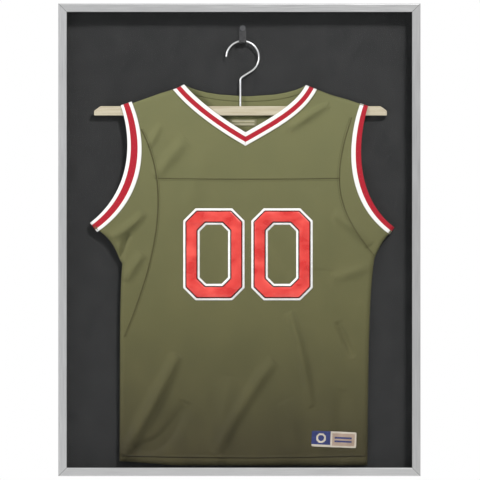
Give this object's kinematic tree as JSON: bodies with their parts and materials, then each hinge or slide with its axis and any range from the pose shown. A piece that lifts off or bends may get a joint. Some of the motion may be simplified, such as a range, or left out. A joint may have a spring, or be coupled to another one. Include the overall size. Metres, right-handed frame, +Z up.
{
  "type": "jersey display frame",
  "caption": "Slim wall-hung aluminium display case with a hinged clear front, felt back, and a sleeveless sports jersey on a hanger that swings on an inner hook.",
  "frame": {"origin": "on the wall plane, midway between the screw seats at the tops of the two keyhole slots", "axes": "+X to the right seen from the front, +Y into the wall, +Z up"},
  "size_m": [0.613, 0.042, 0.8],
  "materials": {
    "brushed_aluminium": "satin brushed along each rail",
    "zinc_steel": "bright zinc plate",
    "hinge_steel": "satin",
    "hook_wire": "bright drawn wire",
    "dark_bracket": "dark grey satin paint",
    "catch_magnet": "moulded housing",
    "hardboard": "smooth hardboard",
    "charcoal_felt": "matt felt",
    "black_foam": "closed-cell foam",
    "black_bead": "satin",
    "clear_acrylic": "clear and polished",
    "pale_wood": "fine grain, satin lacquer",
    "olive_knit": "fine polyester knit",
    "rib_trim": "striped rib knit, white, red, white",
    "white_twill": "tackle twill",
    "red_satin": "glossy satin twill",
    "woven_tag": "woven, blue and cream",
    "label_tape": "woven tape"
  },
  "bodies": {
    "case": {"case_rail_left": "brushed_aluminium", "case_rail_right": "brushed_aluminium", "case_rail_top": "brushed_aluminium", "case_rail_bottom": "brushed_aluminium", "corner_plates": "zinc_steel", "corner_screws": "zinc_steel", "back_panel": "hardboard", "panel_screws": "zinc_steel", "felt_lining": "charcoal_felt", "door_seal": "black_foam", "j_hook": "dark_bracket", "j_hook_screw": "dark_bracket", "keyhole_plate_left": "zinc_steel", "keyhole_plate_right": "zinc_steel", "keyhole_screws": "zinc_steel", "case_leaf_bottom": "hinge_steel", "case_leaf_middle": "hinge_steel", "case_leaf_top": "hinge_steel", "case_leaf_screws": "zinc_steel", "hinge_pins": "hinge_steel", "catch_lower": "catch_magnet", "catch_upper": "catch_magnet"},
    "door": {"door_rail_left": "brushed_aluminium", "door_rail_right": "brushed_aluminium", "door_rail_top": "brushed_aluminium", "door_rail_bottom": "brushed_aluminium", "corner_keys": "zinc_steel", "acrylic_panel": "clear_acrylic", "glazing_bead": "black_bead", "door_leaf_bottom": "hinge_steel", "door_leaf_middle": "hinge_steel", "door_leaf_top": "hinge_steel", "door_leaf_screws": "zinc_steel", "strike_lower": "zinc_steel", "strike_upper": "zinc_steel"},
    "hanger": {"hanger_hook": "hook_wire", "hanger_bar": "pale_wood", "jersey_front": "olive_knit", "jersey_back": "olive_knit", "side_panel_left": "olive_knit", "side_panel_right": "olive_knit", "neck_trim": "rib_trim", "arm_trim_left": "rib_trim", "arm_trim_right": "rib_trim", "number_base_left": "white_twill", "number_base_right": "white_twill", "number_top_left": "red_satin", "number_top_right": "red_satin", "hem_tag": "woven_tag", "neck_label": "label_tape"}
  },
  "joints": [
    {"name": "door_hinge", "type": "hinge", "parent": "case", "child": "door", "pos_m": [-0.3044, -0.0286, -0.385], "axis": [0, 0, -1], "range_deg": [0, 110]},
    {"name": "hanger_swing", "type": "hinge", "parent": "case", "child": "hanger", "pos_m": [0.0055, -0.0206, -0.07526], "axis": [0, 1, 0], "range_deg": [-2, 2]}
  ]
}
